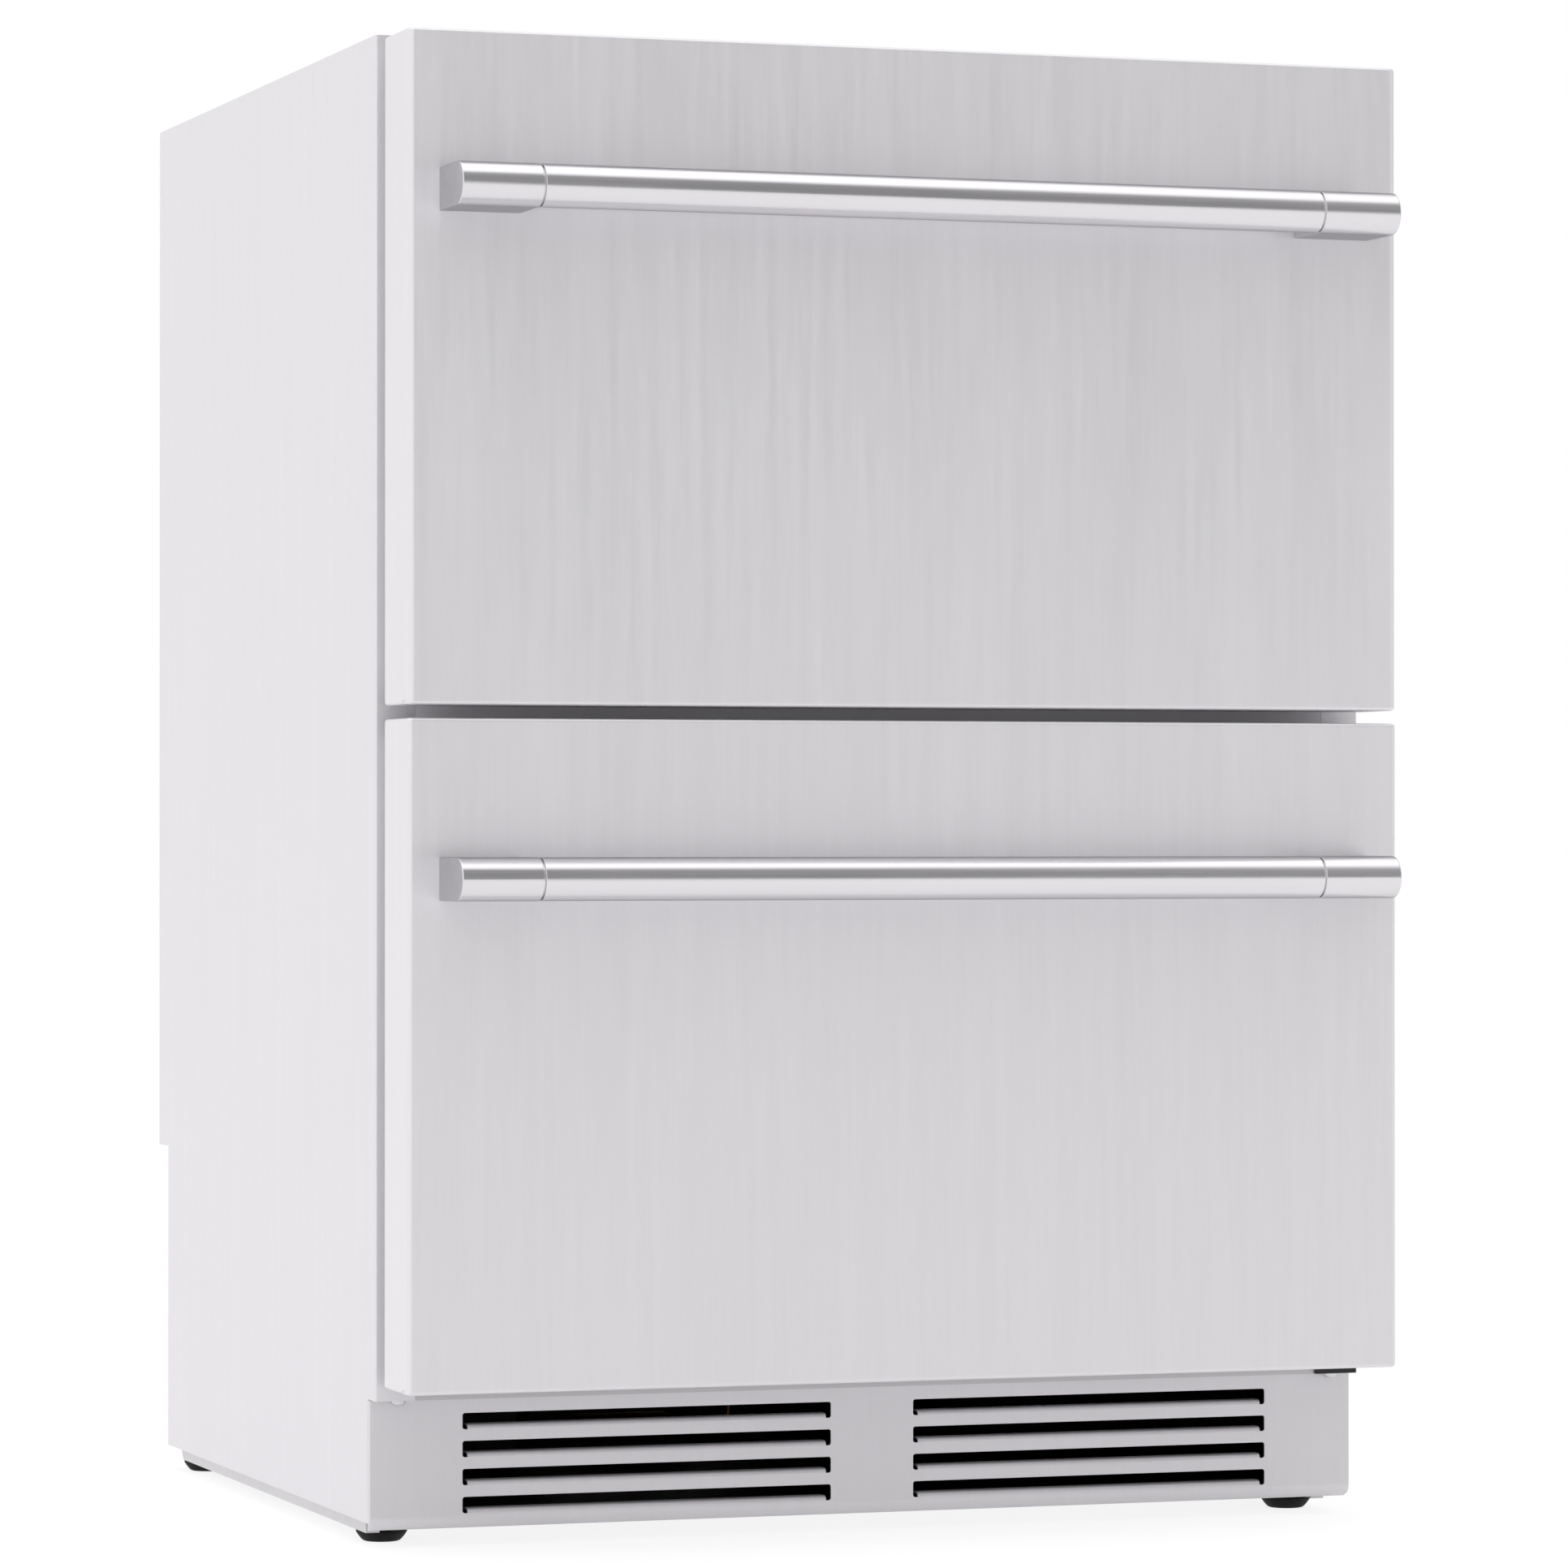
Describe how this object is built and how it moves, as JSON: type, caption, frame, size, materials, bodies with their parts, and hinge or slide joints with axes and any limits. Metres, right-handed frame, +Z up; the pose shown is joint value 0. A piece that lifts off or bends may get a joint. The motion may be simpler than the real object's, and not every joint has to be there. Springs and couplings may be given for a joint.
{
  "type": "undercounter drawer refrigerator",
  "caption": "Undercounter refrigerator with two stacked full-extension drawers, bar handles and a louvred toe grille, on levelling legs.",
  "frame": {"origin": "on the floor, under the middle of the whole object's box", "axes": "+Z up, -Y the front with the drawers' handles, +X the right side seen from the front"},
  "size_m": [0.596, 0.6363, 0.846],
  "materials": {
    "steel_side": "satin",
    "steel_front": "satin",
    "steel_frame": "satin",
    "mullion": "satin",
    "handle_steel": "satin",
    "kick_steel": "satin",
    "zinc": "satin",
    "zinc_screw": "satin",
    "white_liner": "satin",
    "white_box": "satin",
    "foam": "matte",
    "seal": "matte",
    "black_rubber": "matte",
    "black_plastic": "matte",
    "black_steel": "satin",
    "coil_aluminium": "satin",
    "condenser_black": "matte",
    "copper": "satin",
    "panel_glass": "gloss",
    "light_lens": "satin",
    "fan_white": "matte",
    "slide_steel": "satin",
    "leg_black": "matte"
  },
  "bodies": {
    "cabinet": {"left_side_panel": "steel_side", "right_side_panel": "steel_side", "top_panel": "steel_side", "rear_panel": "zinc", "underfloor_panel": "zinc", "machine_cover": "zinc", "rear_screws": "zinc_screw", "base_pan": "zinc", "mullion_bar": "mullion", "bottom_rail": "steel_frame", "foam_insulation": "foam", "liner": "white_liner", "evaporator_cover": "white_liner", "evaporator": "coil_aluminium", "evaporator_fan_motor": "black_plastic", "compressor": "black_steel", "compressor_mounts": "black_rubber", "relay_cover": "black_plastic", "condenser": "condenser_black", "condenser_shroud": "black_plastic", "condenser_fan_motor": "black_plastic", "drip_tray": "black_plastic", "drain_tube": "fan_white", "filter_drier": "copper", "refrigerant_tubes": "copper", "control_box": "black_plastic", "control_panel": "panel_glass", "light_bars": "light_lens", "cord_gland": "black_rubber", "kick_plate": "kick_steel", "corner_plate": "black_steel", "corner_screws": "zinc_screw", "leg_nuts": "zinc_screw", "outer_slides": "slide_steel"},
    "upper_drawer": {"upper_front_skin": "steel_front", "upper_front_foam": "foam", "upper_inner_panel": "white_liner", "upper_seal": "seal", "upper_handle_bar": "handle_steel", "upper_handle_brackets": "handle_steel", "upper_handle_screws": "zinc_screw", "upper_drawer_box": "white_box", "upper_inner_slides": "slide_steel"},
    "upper_slide_middles": {"upper_middle_slides": "slide_steel"},
    "lower_drawer": {"lower_front_skin": "steel_front", "lower_front_foam": "foam", "lower_inner_panel": "white_liner", "lower_seal": "seal", "lower_handle_bar": "handle_steel", "lower_handle_brackets": "handle_steel", "lower_handle_screws": "zinc_screw", "lower_drawer_box": "white_box", "lower_inner_slides": "slide_steel"},
    "lower_slide_middles": {"lower_middle_slides": "slide_steel"},
    "evaporator_rotor": {"evaporator_fan": "fan_white"},
    "condenser_rotor": {"condenser_fan": "black_plastic"},
    "leg_front_left_foot": {"leg_front_left": "leg_black"},
    "leg_front_right_foot": {"leg_front_right": "leg_black"},
    "leg_rear_left_foot": {"leg_rear_left": "leg_black"},
    "leg_rear_right_foot": {"leg_rear_right": "leg_black"}
  },
  "joints": [
    {"name": "upper_drawer_slide", "type": "slide", "parent": "cabinet", "child": "upper_drawer", "axis": [0, -1, 0], "range_m": [0, 0.4]},
    {"name": "upper_middles_slide", "type": "slide", "parent": "cabinet", "child": "upper_slide_middles", "axis": [0, -1, 0], "range_m": [0, 0.2]},
    {"name": "lower_drawer_slide", "type": "slide", "parent": "cabinet", "child": "lower_drawer", "axis": [0, -1, 0], "range_m": [0, 0.4]},
    {"name": "lower_middles_slide", "type": "slide", "parent": "cabinet", "child": "lower_slide_middles", "axis": [0, -1, 0], "range_m": [0, 0.2]},
    {"name": "evaporator_fan_spin", "type": "hinge", "parent": "cabinet", "child": "evaporator_rotor", "pos_m": [0, 0.23895, 0.735], "axis": [0, 1, 0], "continuous": true},
    {"name": "condenser_fan_spin", "type": "hinge", "parent": "cabinet", "child": "condenser_rotor", "pos_m": [-0.11, 0.19595, 0.0836], "axis": [1, 0, 0], "continuous": true},
    {"name": "leg_front_left_screw", "type": "slide", "parent": "cabinet", "child": "leg_front_left_foot", "axis": [0, 0, -1], "range_m": [0, 0.02]},
    {"name": "leg_front_right_screw", "type": "slide", "parent": "cabinet", "child": "leg_front_right_foot", "axis": [0, 0, -1], "range_m": [0, 0.02]},
    {"name": "leg_rear_left_screw", "type": "slide", "parent": "cabinet", "child": "leg_rear_left_foot", "axis": [0, 0, -1], "range_m": [0, 0.02]},
    {"name": "leg_rear_right_screw", "type": "slide", "parent": "cabinet", "child": "leg_rear_right_foot", "axis": [0, 0, -1], "range_m": [0, 0.02]}
  ],
  "couplings": [
    {"joint": "upper_middles_slide", "follows": "upper_drawer_slide", "ratio": 0.5},
    {"joint": "lower_middles_slide", "follows": "lower_drawer_slide", "ratio": 0.5}
  ]
}
